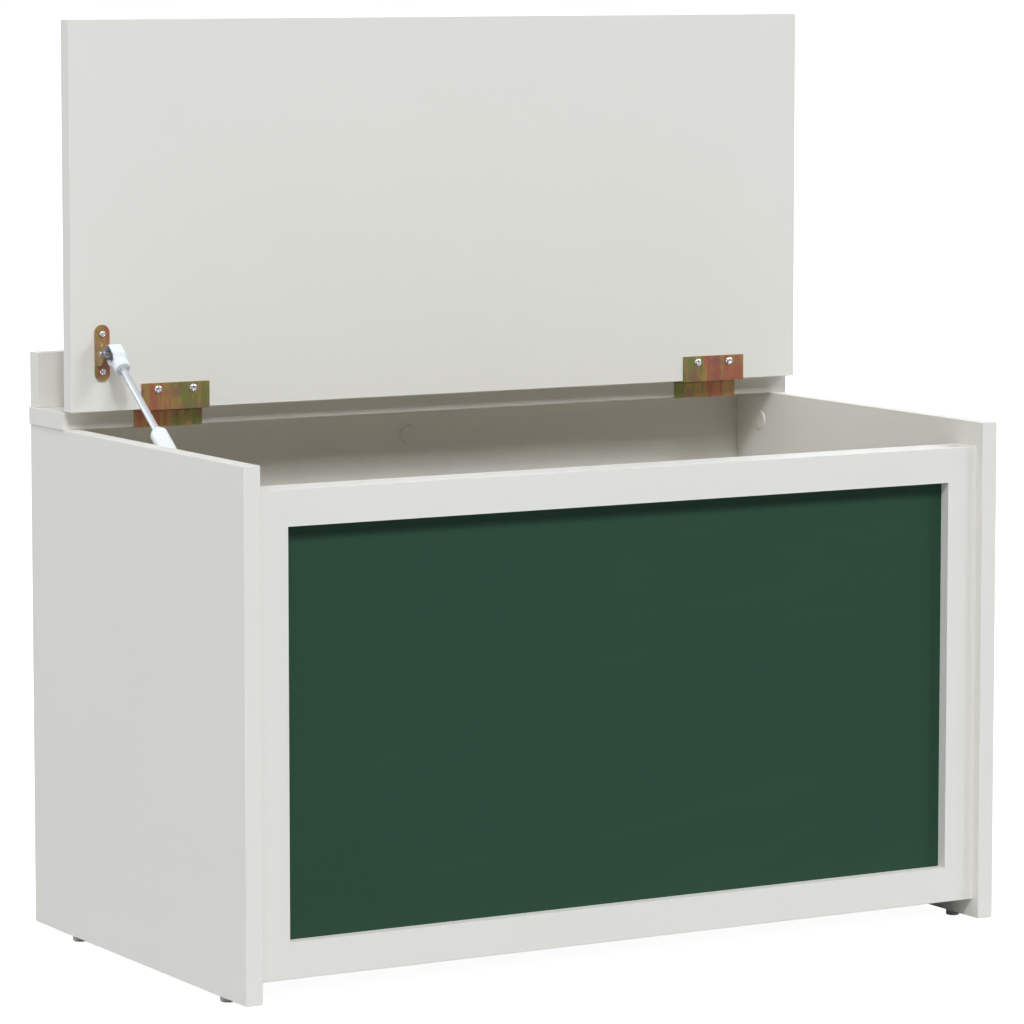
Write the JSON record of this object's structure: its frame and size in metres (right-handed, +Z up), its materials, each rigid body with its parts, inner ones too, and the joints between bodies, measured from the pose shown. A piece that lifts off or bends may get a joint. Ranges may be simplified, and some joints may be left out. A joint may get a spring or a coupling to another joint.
{
  "type": "toy storage box",
  "caption": "White board toy box on small glides, with a framed green chalkboard front, a strut-held lid on wrap-round hinges and a low backrest.",
  "frame": {"origin": "on the floor, under the middle of the box's footprint", "axes": "+X to the right seen from the front, +Y from the chalkboard front to the back, +Z up; the lid stands open at rest"},
  "size_m": [0.727, 0.4, 0.7808],
  "materials": {
    "white_board": "white melamine board, matt, faint grain",
    "chalkboard": "green chalkboard paint on hardboard, matt",
    "beech": "plain wood",
    "yellow_zinc": "yellow passivated zinc, iridescent",
    "bright_steel": "bright zinc plated",
    "zinc": "dull cast zinc and plated steel",
    "satin_steel": "satin ground",
    "white_plastic": "moulded, satin",
    "white_enamel": "smooth enamel",
    "dark_plastic": "moulded",
    "cap_plastic": "moulded, matt",
    "grey_plastic": "moulded, matt"
  },
  "bodies": {
    "case": {"left_side_panel": "white_board", "right_side_panel": "white_board", "back_panel": "white_board", "bottom_panel": "white_board", "inner_front_panel": "white_board", "front_left_stile": "white_board", "front_right_stile": "white_board", "front_top_rail": "white_board", "front_bottom_rail": "white_board", "chalkboard_sheet": "chalkboard", "frame_screws": "bright_steel", "hinge_rail": "white_board", "backrest": "white_board", "backrest_screws": "bright_steel", "hinge_left_rail_leaf": "yellow_zinc", "hinge_left_pin": "zinc", "hinge_left_rail_screws": "bright_steel", "hinge_right_rail_leaf": "yellow_zinc", "hinge_right_pin": "zinc", "hinge_right_rail_screws": "bright_steel", "strut_case_bracket": "yellow_zinc", "strut_case_screws": "bright_steel", "cam_locks": "zinc", "cam_bolts": "zinc", "cam_caps": "cap_plastic", "wooden_dowels": "beech", "foot_left_front": "grey_plastic", "foot_left_back": "grey_plastic", "foot_right_front": "grey_plastic", "foot_right_back": "grey_plastic", "foot_nails": "zinc"},
    "lid": {"lid_panel": "white_board", "hinge_left_lid_leaf": "yellow_zinc", "hinge_left_lid_screws": "bright_steel", "hinge_right_lid_leaf": "yellow_zinc", "hinge_right_lid_screws": "bright_steel", "strut_lid_bracket": "yellow_zinc", "strut_lid_ball_stud": "satin_steel", "strut_lid_screws": "bright_steel"},
    "strut_rod": {"strut_rod_socket": "white_plastic", "strut_rod": "satin_steel", "strut_piston": "dark_plastic"},
    "strut_tube": {"strut_cylinder": "white_enamel", "strut_guide_cap": "white_plastic", "strut_cylinder_socket": "white_plastic", "strut_lower_ball": "satin_steel"}
  },
  "joints": [
    {"name": "lid_hinge", "type": "hinge", "parent": "case", "child": "lid", "pos_m": [0, 0.1314, 0.45055], "axis": [1, 0, 0], "range_deg": [0, 90]},
    {"name": "strut_swivel", "type": "hinge", "parent": "lid", "child": "strut_rod", "pos_m": [-0.327, 0.10645, 0.50145], "axis": [1, 0, 0], "range_deg": [-104.73, 0]},
    {"name": "strut_slide", "type": "slide", "parent": "strut_rod", "child": "strut_tube", "axis": [0, 0.809, 0.5878], "range_m": [0, 0.06004]}
  ],
  "couplings": [
    {"joint": "strut_swivel", "follows": "lid_hinge", "ratio": -1.1603},
    {"joint": "strut_slide", "follows": "lid_hinge", "m_per_rad": 0.038033}
  ]
}
